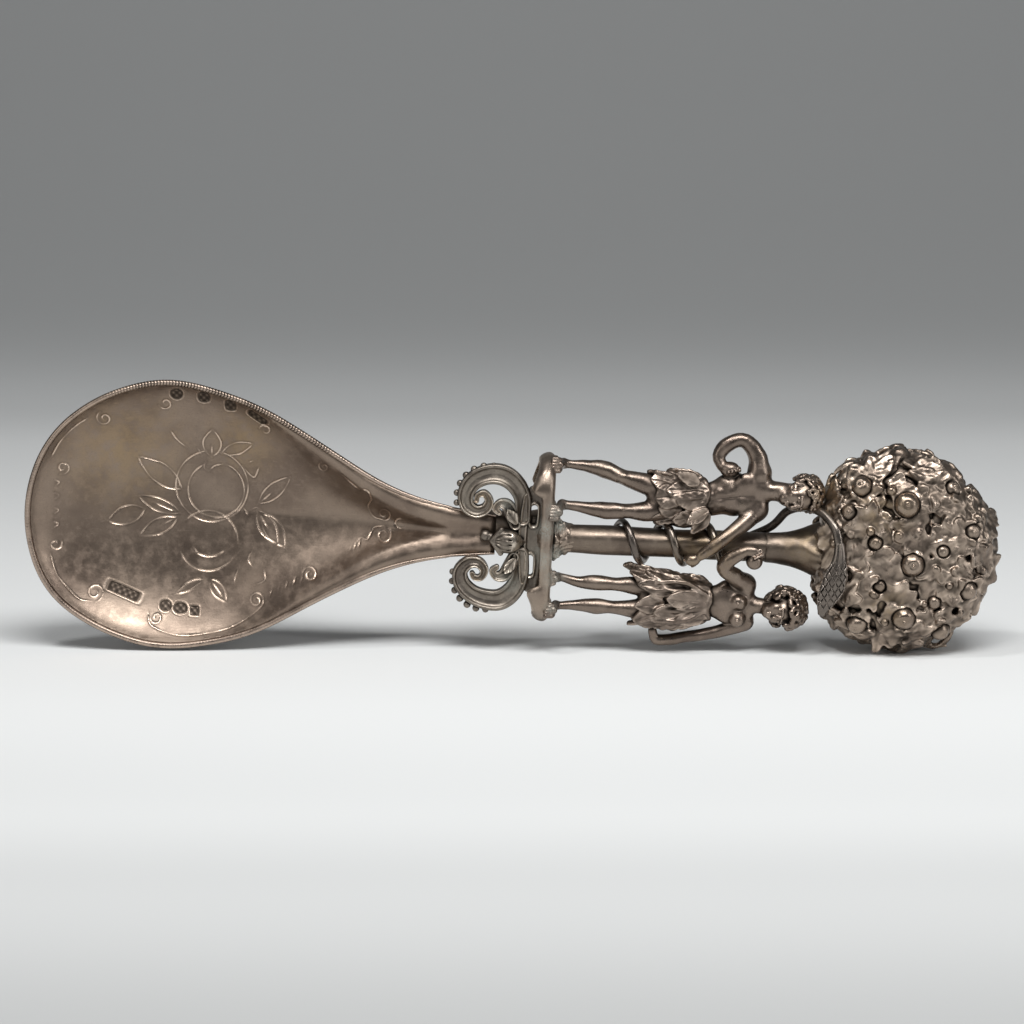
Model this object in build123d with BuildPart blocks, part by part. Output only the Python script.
"""Figural fruit-tree spoon, standing on its long edge.

Every piece is drawn in the spoon's own frame: X runs from the bowl's tip to the crown, Z runs across
the bowl, and the hollow of the bowl faces -Y. Stance, at the end, tips the finished spoon until the
bowl's rim and the crown both rest on the ground, and puts the origin under the middle of its box.
"""

from build123d import *
import os
from math import asin, cos, degrees, hypot, pi, sin, sqrt

os.makedirs("parts", exist_ok=True)

# ---- driving dimensions, millimetres -------------------------------------------------------------
BOWL_DEPTH = 9.6            # hollow and sheet together
BOWL_DEEPEST_X = 31.0       # the sections draw in towards this point
BOWL_HALF_WIDTH = 25.0
SHEET = 1.0                 # thickness of the bowl's sheet
RIM_WIDTH = 1.3
RIM_HEIGHT = 0.9
RIM_OVERHANG = 0.3
BOWL_FULLNESS = 1.0         # 1 is an ellipse, less is fuller at the shoulder
NECK_END_X = 85.6
NECK_HALF_WIDTH = 4.0
STEM_Z = -0.85              # the stem's axis lies a little to one side of the bowl's
BRACKET_Y = 2.3             # the middle of the bracket that carries the platform behind the mount

MOUNT_THICKNESS = 1.8       # the flat scroll mount lies against the plane of the rim
LEAF_THICKNESS = 1.45
SCROLL_WIDTH = 2.3
SCROLL_STALK_X = 92.05
GRAIN_RADIUS = 0.55         # beads on the edges of the volutes
GRAIN_COUNT = 7
BUD_Z = -1.8
NECK_BEAD_RADIUS = 0.95

PLATFORM_X = 98.0           # top of the platform, where the feet stand
PLATFORM_LENGTH = 31.8      # across the spoon
PLATFORM_WIDTH = 14.0       # front to back
PLATFORM_HEIGHT = 5.6       # at its rounded ends, which hang down like fingertips
PLATFORM_WALL = 1.1
PLATFORM_EDGE = 2.5         # height of its long walls between the ends
PLATFORM_GAP = 18.6         # length of the stretch that is cut back
PLATFORM_ROUNDING = 1.0

TRUNK_RADIUS = 2.7
TRUNK_END_X = 139.0
TRUNK_AXIS = Axis((0, 0, STEM_Z), (1, 0, 0))
COLLAR_RADIUS = 4.3
COLLAR_HEIGHT = 2.6
BELL_MOUTH_X = 149.6
BELL_MOUTH_RADIUS = 6.2
BELL_WALL = 1.2

SERPENT_RADIUS = 0.75
COIL_PITCH = 7.8
COIL_START_X = 110.95       # where the first turn passes over the trunk's upper side
COIL_RADIUS = TRUNK_RADIUS + SERPENT_RADIUS + 0.05
TURN_STEPS = 8              # straight runs in each turn
BEND_RADIUS = 1.0

CROWN_X = 164.2             # the crown's widest section
CROWN_HALF_LENGTH = 15.9
CROWN_HALF_WIDTH = 18.9
CROWN_DEPTH = 9.4           # of each half, without its fruit
CROWN_WALL = 1.2
CROWN_FULLNESS = 0.62
LEAF_HEIGHT = 0.9
# x, z and radius of each apple on the front
APPLES = [
    (162.3, 9.6, 2.4), (163.9, -1.1, 2.2), (163.1, -11.0, 2.2), (154.4, 12.0, 2.0), (174.4, 5.1, 1.6),
    (174.2, -5.6, 1.9), (155.1, -12.8, 2.0), (170.0, -13.4, 1.9), (152.4, 7.6, 1.6), (170.3, 12.4, 1.7),
    (157.0, 2.5, 1.4), (169.3, 1.5, 1.3), (158.2, -5.4, 1.3), (168.4, -8.0, 1.3),
]

BONE_SHARE = 0.93           # a limb between two joints, against the roundness of the joints
CLEAR = 60                  # longer than any piece that is cut in two


# ---- helpers -------------------------------------------------------------------------------------
def across(x):
    """The plane across the spoon at x, looking along it: its x is Y and its y is Z."""
    return Plane(origin=(x, 0, 0), x_dir=(0, 1, 0), z_dir=(1, 0, 0))


def depth_plane(y):
    """The plane parallel to the bowl's rim at depth y: its x is X and its y is Z."""
    return Plane.XZ.offset(-y)


def dome_levels(count, fullness, depth):
    """Pairs of spread and depth for the sections of a dome, from its rim to near its top."""
    levels = []
    for step in range(count):
        angle = step / (count - 0.72) * pi / 2
        levels.append((cos(angle) ** fullness, depth * sin(angle)))
    return levels


def limb(*stations):
    """A tapering limb through stations of x, y, z and radius, rounded at each of them."""
    for x, y, z, radius in stations:
        with Locations((x, y, z)):
            Sphere(radius)
    for start, end in zip(stations, stations[1:]):
        span = Vector(*end[:3]) - Vector(*start[:3])
        with Locations(Plane(origin=start[:3], z_dir=span)):
            Cone(
                start[3] * BONE_SHARE, end[3] * BONE_SHARE * 0.99, span.length,
                align=(Align.CENTER, Align.CENTER, Align.MIN),
            )


def body_of(*sections, mode=Mode.ADD):
    """A body lofted along the spoon through sections of x, y, z, half depth and half width."""
    outlines = []
    for x, y, z, half_depth, half_width in sections:
        with BuildSketch(across(x)) as outline:
            with Locations((y, z)):
                Ellipse(half_depth, half_width)
        outlines.append(outline.sketch)
    loft(outlines, mode=mode)


# ---- bowl ----------------------------------------------------------------------------------------
def bowl_outline(spread=1.0, inset=0.0, end_gap=0.0):
    """The fig-shaped edge of the bowl and neck, drawn in towards the bowl's deepest point."""
    def drawn_in(x, z):
        side = 1 if z > STEM_Z else -1
        x = min(x, NECK_END_X - end_gap) if x < NECK_END_X else x - end_gap
        x = max(x, BOWL_DEEPEST_X) + min(x - BOWL_DEEPEST_X, 0) * (1 - inset / BOWL_DEEPEST_X)
        return (BOWL_DEEPEST_X + (x - BOWL_DEEPEST_X) * spread, (z - side * inset) * spread)

    tip = (BOWL_DEEPEST_X - (BOWL_DEEPEST_X - inset) * spread, -1.0 * spread)
    upper_shoulder = drawn_in(5, 14.6)
    upper_side = drawn_in(28, BOWL_HALF_WIDTH)
    upper_neck = drawn_in(NECK_END_X, STEM_Z + NECK_HALF_WIDTH)
    lower_neck = drawn_in(NECK_END_X, STEM_Z - NECK_HALF_WIDTH)
    lower_side = drawn_in(28, -BOWL_HALF_WIDTH - 0.3)
    lower_shoulder = drawn_in(5, -16.2)
    ThreePointArc(lower_shoulder, tip, upper_shoulder)
    ThreePointArc(upper_shoulder, drawn_in(14.4, 21.9), upper_side)
    Spline(
        upper_side, drawn_in(42, 21.2), drawn_in(54, 14.7), drawn_in(66, 7.7), drawn_in(76, 4.4), upper_neck,
    )
    Line(upper_neck, lower_neck)
    Spline(
        lower_neck, drawn_in(76, -5.9), drawn_in(66, -9.0), drawn_in(54, -15.4), drawn_in(42, -22.2),
        lower_side,
    )
    ThreePointArc(lower_side, drawn_in(14.4, -22.4), lower_shoulder)


def bowl_dome(depth, inset=0.0, rise=0.0):
    """The dished form under the outline; a rise lifts its first section clear of the rim."""
    with BuildPart() as dome:
        for spread, level in dome_levels(6, BOWL_FULLNESS, depth):
            with BuildSketch(depth_plane(level if level else -rise)):
                with BuildLine():
                    bowl_outline(spread, inset, 6 * inset)
                make_face()
        loft()
    return dome.part


raised_sheet = bowl_dome(BOWL_DEPTH)
hollow = bowl_dome(BOWL_DEPTH - SHEET, SHEET, 0.1)
with BuildPart() as bowl:
    add(raised_sheet)
    add(hollow, mode=Mode.SUBTRACT)

with BuildPart() as bowl_rim:
    with BuildSketch(Plane.XZ):
        with BuildLine():
            bowl_outline(inset=-RIM_OVERHANG)
        make_face()
    extrude(amount=RIM_HEIGHT)
    # the ring stays open at the end of the neck
    with BuildSketch(Plane.XZ):
        with BuildLine():
            bowl_outline(inset=RIM_WIDTH - RIM_OVERHANG, end_gap=-2)
        make_face()
    extrude(amount=RIM_HEIGHT, mode=Mode.SUBTRACT)


# ---- scroll mount --------------------------------------------------------------------------------
def scroll_arm(start, rise, corner_radius, top_radius, side):
    """The path of one arm: up the stalk, over the corner and down the outside of the volute."""
    stalk = Line(start, (start[0], start[1] + side * rise))
    corner = JernArc(stalk @ 1, stalk % 1, corner_radius, side * 90)
    JernArc(corner @ 1, corner % 1, top_radius, side * 90)


with BuildPart() as stem_bracket:
    for x, depth, width in ((NECK_END_X, 4.4, 7.2), (90, 3.8, 5.2), (PLATFORM_X - PLATFORM_WALL, 6.0, 10.8)):
        with BuildSketch(across(x)):
            with Locations((BRACKET_Y, STEM_Z)):
                Rectangle(depth, width)
    loft(ruled=True)
    # the mount lies flat on its front
    with Locations((PLATFORM_X, 0, 0)):
        Box(CLEAR, CLEAR, CLEAR, align=(Align.CENTER, Align.MAX, Align.CENTER), mode=Mode.SUBTRACT)

with BuildPart() as neck_bead:
    with Locations((85.5, -0.95, -1.0)):
        Sphere(NECK_BEAD_RADIUS)

with BuildPart() as scroll_bar:
    with BuildSketch(Plane.XZ):
        with Locations((93.85, -1.4)):
            Rectangle(6.1, 15.4)
        with Locations((89.6, -1.8)):
            Rectangle(5.6, 3.6)
        with Locations((94.3, 3.3), (93.9, -6.2)):
            SlotOverall(3.6, 1.3, rotation=90, mode=Mode.SUBTRACT)
    extrude(amount=MOUNT_THICKNESS)

with BuildPart() as upper_scroll:
    with BuildSketch(Plane.XZ):
        with BuildLine():
            scroll_arm((SCROLL_STALK_X, 3.0), 1.6, 5.65, 4.5, 1)
        trace(line_width=SCROLL_WIDTH)
        with Locations((84.3, 5.7)):
            Circle(3.1)
    extrude(amount=MOUNT_THICKNESS)
    add(scroll_bar.part, mode=Mode.SUBTRACT)

with BuildPart() as lower_scroll:
    with BuildSketch(Plane.XZ):
        with BuildLine():
            scroll_arm((SCROLL_STALK_X, -4.6), 1.6, 6.45, 4.3, -1)
        trace(line_width=SCROLL_WIDTH)
        with Locations((84.3, -8.5)):
            Circle(3.2)
            Circle(1.1, mode=Mode.SUBTRACT)
    extrude(amount=MOUNT_THICKNESS)
    add(scroll_bar.part, mode=Mode.SUBTRACT)

with BuildPart() as upper_scroll_beads:
    with Locations(Plane(origin=(86.0, -MOUNT_THICKNESS / 2, 6.0), x_dir=(1, 0, 0), z_dir=(0, -1, 0))):
        with PolarLocations(6.3, GRAIN_COUNT, 68, 122, endpoint=True):
            Sphere(GRAIN_RADIUS)
    add(upper_scroll.part, mode=Mode.SUBTRACT)

with BuildPart() as lower_scroll_beads:
    with Locations(Plane(origin=(85.7, -MOUNT_THICKNESS / 2, -8.7), x_dir=(1, 0, 0), z_dir=(0, -1, 0))):
        with PolarLocations(6.1, GRAIN_COUNT, 172, 120, endpoint=True):
            Sphere(GRAIN_RADIUS)
    add(lower_scroll.part, mode=Mode.SUBTRACT)

with BuildPart() as upper_leaf_curl:
    with BuildSketch(Plane.XZ):
        with Locations((88.6, 4.3)):
            Circle(1.3)
        with Locations((90.2, 2.4)):
            Ellipse(1.3, 2.2, rotation=25)
    extrude(amount=LEAF_THICKNESS)
    add(upper_scroll.part, mode=Mode.SUBTRACT)
    add(scroll_bar.part, mode=Mode.SUBTRACT)

with BuildPart() as lower_leaf_curl:
    with BuildSketch(Plane.XZ):
        with Locations((88.8, -7.6)):
            Circle(1.3)
        with Locations((90.2, -5.8)):
            Ellipse(1.3, 2.2, rotation=-25)
    extrude(amount=LEAF_THICKNESS)
    add(lower_scroll.part, mode=Mode.SUBTRACT)
    add(scroll_bar.part, mode=Mode.SUBTRACT)

with BuildPart() as scroll_bud:
    with BuildSketch(Plane(origin=(0, -MOUNT_THICKNESS, BUD_Z), x_dir=(1, 0, 0), z_dir=(0, -1, 0))):
        with BuildLine():
            Spline((86.8, 0), (88.5, 2.3), (90.6, 2.3), (92.6, 0))
            Line((92.6, 0), (86.8, 0))
        make_face()
    revolve(axis=Axis((0, -MOUNT_THICKNESS, BUD_Z), (1, 0, 0)))
    with Locations((PLATFORM_X, -MOUNT_THICKNESS, 0)):
        Box(CLEAR, CLEAR, CLEAR, align=(Align.CENTER, Align.MIN, Align.CENTER), mode=Mode.SUBTRACT)

# ---- platform ------------------------------------------------------------------------------------
with BuildPart() as platform:
    with BuildSketch(across(PLATFORM_X)):
        with Locations((0, STEM_Z)):
            SlotOverall(PLATFORM_LENGTH, PLATFORM_WIDTH, rotation=90)
    extrude(amount=-PLATFORM_HEIGHT)
    fillet(platform.faces().sort_by(Axis.X)[-1].edges(), PLATFORM_ROUNDING)
    with BuildSketch(across(PLATFORM_X - PLATFORM_WALL)):
        with Locations((0, STEM_Z)):
            SlotOverall(
                PLATFORM_LENGTH - 2 * PLATFORM_WALL, PLATFORM_WIDTH - 2 * PLATFORM_WALL, rotation=90,
            )
    extrude(amount=-PLATFORM_HEIGHT, mode=Mode.SUBTRACT)
    # the long walls are cut back between the rounded ends
    with BuildSketch(Plane.XZ) as gap:
        with Locations((PLATFORM_X - PLATFORM_EDGE, STEM_Z)):
            Rectangle(PLATFORM_HEIGHT, PLATFORM_GAP, align=(Align.MAX, Align.CENTER))
        fillet(gap.vertices(), PLATFORM_ROUNDING)
    extrude(amount=PLATFORM_WIDTH, both=True, mode=Mode.SUBTRACT)

# ---- trunk ---------------------------------------------------------------------------------------
with BuildPart() as trunk:
    with BuildSketch(across(PLATFORM_X)):
        with Locations((0, STEM_Z)):
            Circle(TRUNK_RADIUS)
    extrude(amount=TRUNK_END_X - PLATFORM_X)

with BuildPart() as trunk_collar:
    with BuildSketch(Plane(origin=(0, 0, STEM_Z), x_dir=(1, 0, 0), z_dir=(0, -1, 0))):
        with BuildLine():
            Polyline(
                (PLATFORM_X, TRUNK_RADIUS), (PLATFORM_X, COLLAR_RADIUS),
                (PLATFORM_X + 0.9, COLLAR_RADIUS - 0.2), (PLATFORM_X + COLLAR_HEIGHT, TRUNK_RADIUS + 0.3),
                (PLATFORM_X + COLLAR_HEIGHT, TRUNK_RADIUS), (PLATFORM_X, TRUNK_RADIUS),
            )
        make_face()
    revolve(axis=TRUNK_AXIS)


# ---- crown: two hollow halves with fruit and leaves ----------------------------------------------
def crown_dome(growth):
    """The front half of the crown, grown or drawn in by the same amount all over."""
    corners = [
        (148.4, 9.6), (158.4, 17.9), (173.4, 14.6), (180.1, 0), (173.6, -14.2), (158.4, -17.9),
        (148.5, -9.6),
    ]
    crests = [
        (152.0, 14.6), (166, CROWN_HALF_WIDTH), (178.2, 8.4), (178.4, -8.4), (166, -CROWN_HALF_WIDTH),
        (152.0, -14.7), (148.0, 0),
    ]
    with BuildPart() as dome:
        for spread, level in dome_levels(6, CROWN_FULLNESS, CROWN_DEPTH + growth):
            grown_x = spread * (1 + growth / CROWN_HALF_LENGTH)
            grown_z = spread * (1 + growth / CROWN_HALF_WIDTH)
            with BuildSketch(depth_plane(-level)):
                with BuildLine():
                    for start, crest, end in zip(corners, crests, corners[1:] + corners[:1]):
                        ThreePointArc(*[
                            (CROWN_X + (x - CROWN_X) * grown_x, z * grown_z)
                            for x, z in (start, crest, end)
                        ])
                make_face()
        loft()
    return dome.part


def crown_surface(x, z):
    """How far the crown's face stands from its middle plane at x and z."""
    reach = hypot((x - CROWN_X) / CROWN_HALF_LENGTH, z / CROWN_HALF_WIDTH)
    return CROWN_DEPTH * sqrt(max(0.0, 1 - min(reach, 1) ** (2 / CROWN_FULLNESS)))


crown_solid = crown_dome(0)
crown_hollow = crown_dome(-CROWN_WALL)
leaf_layer = crown_dome(LEAF_HEIGHT)

with BuildPart() as crown_front_shell:
    add(crown_solid)
    add(crown_hollow, mode=Mode.SUBTRACT)

with BuildPart() as crown_front_apples:
    for x, z, radius in APPLES:
        with Locations((x, -crown_surface(x, z) - radius * 0.25, z)):
            Sphere(radius)
    add(crown_solid, mode=Mode.SUBTRACT)

with BuildPart() as crown_front_leaves:
    with BuildSketch(Plane.XZ):
        for ring_length, ring_width, leaf_length, count in ((5.6, 6.6, 5.2, 7), (11.2, 13.2, 5.6, 13)):
            for turn in range(count):
                angle = 2 * pi * turn / count
                spot = (CROWN_X + ring_length * cos(angle), ring_width * sin(angle))
                with Locations(Location((spot[0], spot[1], 0), (0, 0, degrees(angle) + 25))):
                    Ellipse(leaf_length / 2, leaf_length / 4.4)
    extrude(amount=2 * CROWN_DEPTH)
    add(leaf_layer, mode=Mode.INTERSECT)
    add(crown_solid, mode=Mode.SUBTRACT)
    add(crown_front_apples.part, mode=Mode.SUBTRACT)

with BuildPart() as crown_back_shell:
    mirror(crown_front_shell.part, about=Plane.XZ)

with BuildPart() as crown_back_apples:
    mirror(crown_front_apples.part, about=Plane.XZ)

with BuildPart() as crown_back_leaves:
    mirror(crown_front_leaves.part, about=Plane.XZ)

with BuildPart() as crown_bell:
    with BuildSketch(Plane(origin=(0, 0, STEM_Z), x_dir=(1, 0, 0), z_dir=(0, -1, 0))):
        with BuildLine():
            Line((TRUNK_END_X, 0), (TRUNK_END_X, TRUNK_RADIUS))
            Spline(
                (TRUNK_END_X, TRUNK_RADIUS), (143.6, 3.3), (147.4, 4.9), (BELL_MOUTH_X, BELL_MOUTH_RADIUS),
                tangents=[(1, 0), (0.7, 1)],
            )
            Polyline(
                (BELL_MOUTH_X, BELL_MOUTH_RADIUS), (BELL_MOUTH_X, BELL_MOUTH_RADIUS - BELL_WALL), (142, 0),
                (TRUNK_END_X, 0),
            )
        make_face()
    revolve(axis=TRUNK_AXIS)
    for half in (crown_solid, crown_solid.mirror(Plane.XZ)):
        add(half, mode=Mode.SUBTRACT)
    for relief in (crown_front_apples, crown_back_apples, crown_front_leaves, crown_back_leaves):
        add(relief.part, mode=Mode.SUBTRACT)

# ---- serpent -------------------------------------------------------------------------------------
def coil_point(turn):
    """A point of the wire after so many turns, which start on the upper side and go over the front."""
    angle = 2 * pi * turn
    reach = COIL_RADIUS / cos(pi / TURN_STEPS)
    return (COIL_START_X + COIL_PITCH * turn, -reach * sin(angle), STEM_Z + reach * cos(angle))


with BuildPart() as serpent_coils:
    with BuildLine() as wire:
        turns = [coil_point(step / TURN_STEPS) for step in range(-2, 23)]
        rise = [
            (138.6, 2.9, 2.6), (141.4, 1.0, 6.0), (144.4, -1.8, 7.3), (147.3, -4.9, 6.9), (149.6, -7.6, 4.6),
        ]
        FilletPolyline(*turns, *rise, (150.4, -8.3, 1.9), radius=BEND_RADIUS)
    with BuildSketch(Plane(origin=wire.line @ 0, z_dir=wire.line % 0)):
        Circle(SERPENT_RADIUS)
    sweep()

with BuildPart() as serpent_head:
    for x, y, z, half_depth, half_width in (
        (150.4, -8.3, 2.4, 0.7, 0.7), (150.5, -8.3, -0.8, 0.9, 1.2), (150.1, -8.3, -4.4, 1.0, 2.0),
        (149.3, -7.9, -8.0, 0.9, 1.9), (148.2, -7.2, -11.2, 0.5, 0.6),
    ):
        with BuildSketch(Plane(origin=(x, y, z), x_dir=(1, 0, 0), z_dir=(0, 0, -1))):
            Ellipse(half_width, half_depth)
    loft()
    add(serpent_coils.part, mode=Mode.SUBTRACT)

# ---- man -----------------------------------------------------------------------------------------
with BuildPart() as man_figure:
    body_of(
        (117.6, -1.4, 7.7, 2.2, 3.9), (121.5, -1.4, 7.6, 2.5, 4.1), (126.2, -1.5, 7.9, 2.3, 3.6),
        (131.0, -1.7, 9.3, 2.8, 4.7), (135.4, -1.7, 9.9, 2.4, 5.1), (137.6, -1.9, 10.2, 1.5, 2.0),
        (142.0, -2.2, 10.0, 1.4, 1.5),
    )
    body_of(
        (98.0, -1.4, 13.2, 1.5, 1.0), (100.4, -1.2, 13.1, 0.95, 0.9), (105.8, -0.8, 12.9, 1.5, 1.45),
        (110.2, -1.3, 11.2, 1.3, 1.3), (114.4, -1.3, 10.3, 1.9, 1.8), (119.0, -1.4, 9.2, 2.0, 2.0),
    )
    body_of(
        (98.0, -2.9, 4.9, 2.1, 1.0), (99.8, -2.0, 5.6, 0.95, 0.95), (105.8, -1.6, 5.0, 1.5, 1.5),
        (111.6, -2.0, 5.1, 1.3, 1.3), (115.2, -1.8, 5.2, 1.9, 1.7), (119.0, -1.4, 6.0, 2.0, 2.0),
    )
    with Locations((143.1, -2.7, 9.6)):
        Sphere(3.6)

with BuildPart() as man_raised_arm:
    limb(
        (135.2, -1.6, 14.0, 1.8), (131.6, -1.2, 18.9, 1.45), (127.6, -1.6, 16.2, 1.25), (129.9, -2.2, 13.8, 1.8),
    )
    add(man_figure.part, mode=Mode.SUBTRACT)

with BuildPart() as man_gripping_arm:
    body_of(
        (136.2, -2.6, 5.9, 1.6, 1.9), (132.6, -4.6, 3.6, 1.4, 1.7), (129.2, -6.2, 1.0, 1.3, 1.6),
        (125.4, -6.2, -1.9, 1.2, 1.5), (123.2, -6.0, -3.2, 1.2, 1.3),
    )
    add(man_figure.part, mode=Mode.SUBTRACT)

with BuildPart() as man_apron:
    body_of((115.8, -1.5, 7.7, 3.5, 5.2), (119.5, -1.5, 7.6, 3.5, 5.1), (125.6, -1.5, 7.9, 3.0, 4.4))
    body_of((115.7, -1.5, 7.7, 2.8, 4.5), (119.5, -1.5, 7.6, 2.8, 4.4), (125.7, -1.5, 7.9, 2.4, 3.8),
            mode=Mode.SUBTRACT)

# ---- woman ---------------------------------------------------------------------------------------
with BuildPart() as woman_figure:
    body_of(
        (117.6, -1.4, -11.2, 2.2, 4.3), (121.5, -1.4, -11.2, 2.5, 4.3), (128.4, -1.6, -11.4, 2.0, 3.2),
        (132.4, -1.8, -12.0, 2.5, 4.2), (135.0, -1.7, -11.6, 2.1, 4.5), (136.9, -1.9, -11.3, 1.4, 1.8),
        (140.0, -2.2, -11.5, 1.3, 1.4),
    )
    body_of(
        (98.0, -2.4, -7.8, 1.9, 0.9), (99.4, -1.6, -8.1, 0.85, 0.85), (105.3, -1.2, -8.8, 1.35, 1.3),
        (110.0, -1.5, -8.8, 1.15, 1.15), (114.2, -1.5, -9.0, 1.8, 1.7), (119.0, -1.4, -9.3, 2.0, 2.0),
    )
    body_of(
        (98.0, -2.3, -13.8, 1.9, 0.9), (99.4, -1.5, -13.4, 0.95, 0.95), (105.6, -1.2, -13.2, 1.5, 1.4),
        (110.0, -1.5, -13.2, 1.25, 1.25), (114.2, -1.5, -13.2, 1.9, 1.8), (119.0, -1.4, -13.1, 2.0, 2.0),
    )
    with Locations((141.2, -2.4, -11.8)):
        Sphere(4.2)
    with Locations((133.2, -3.9, -10.4), (133.2, -3.9, -13.8)):
        Sphere(1.4)

with BuildPart() as held_apple:
    with Locations((135.2, -6.9, -2.4)):
        Sphere(1.3)

with BuildPart() as woman_raised_arm:
    limb((134.0, -2.4, -7.6, 1.6), (129.6, -6.0, -3.9, 1.35), (134.6, -7.2, 0.2, 1.3))
    add(woman_figure.part, mode=Mode.SUBTRACT)

with BuildPart() as woman_lowered_arm:
    body_of(
        (134.6, -1.2, -15.6, 1.4, 1.2), (129.4, -0.8, -16.9, 1.25, 1.25), (124.4, -0.5, -18.2, 1.15, 1.15),
        (118.6, -0.8, -19.1, 1.2, 1.2), (117.0, -1.0, -18.2, 1.0, 1.0),
    )
    add(woman_figure.part, mode=Mode.SUBTRACT)

with BuildPart() as woman_skirt:
    body_of((112.6, -1.5, -11.2, 3.2, 4.9), (118.5, -1.5, -11.2, 3.5, 5.2), (126.8, -1.6, -11.3, 2.9, 4.2))
    body_of((112.5, -1.5, -11.2, 2.5, 4.3), (118.5, -1.5, -11.2, 2.9, 4.6), (126.9, -1.6, -11.3, 2.3, 3.6),
            mode=Mode.SUBTRACT)

# ---- stance --------------------------------------------------------------------------------------
# the rim's lowest point and the crown's lowest point both touch the ground
RIM_TOUCH = Vector(28.4, 0, -BOWL_HALF_WIDTH - 0.6)
CROWN_TOUCH = Vector(165.0, 0, -CROWN_HALF_WIDTH)
EDGE_TILT = degrees(asin((CROWN_TOUCH.Z - RIM_TOUCH.Z) / (CROWN_TOUCH.X - RIM_TOUCH.X)))

PIECES = {
    "bowl": bowl,
    "bowl_rim": bowl_rim,
    "stem_bracket": stem_bracket,
    "neck_bead": neck_bead,
    "scroll_bud": scroll_bud,
    "scroll_bar": scroll_bar,
    "upper_scroll": upper_scroll,
    "lower_scroll": lower_scroll,
    "upper_scroll_beads": upper_scroll_beads,
    "lower_scroll_beads": lower_scroll_beads,
    "upper_leaf_curl": upper_leaf_curl,
    "lower_leaf_curl": lower_leaf_curl,
    "platform": platform,
    "trunk_collar": trunk_collar,
    "trunk": trunk,
    "crown_bell": crown_bell,
    "serpent_coils": serpent_coils,
    "serpent_head": serpent_head,
    "man_figure": man_figure,
    "man_raised_arm": man_raised_arm,
    "man_gripping_arm": man_gripping_arm,
    "man_apron": man_apron,
    "woman_figure": woman_figure,
    "woman_raised_arm": woman_raised_arm,
    "woman_lowered_arm": woman_lowered_arm,
    "woman_skirt": woman_skirt,
    "held_apple": held_apple,
    "crown_front_shell": crown_front_shell,
    "crown_back_shell": crown_back_shell,
    "crown_front_apples": crown_front_apples,
    "crown_back_apples": crown_back_apples,
    "crown_front_leaves": crown_front_leaves,
    "crown_back_leaves": crown_back_leaves,
}

tipped = Compound([piece.part.rotate(Axis.Y, EDGE_TILT) for piece in PIECES.values()])
box = tipped.bounding_box()
STANCE = Pos(-box.center().X, -box.center().Y, -box.min.Z) * Rotation(0, EDGE_TILT, 0)

for name, piece in PIECES.items():
    posed = piece.part.moved(STANCE)
    posed.label = name
    export_step(posed, f"parts/{name}.step")
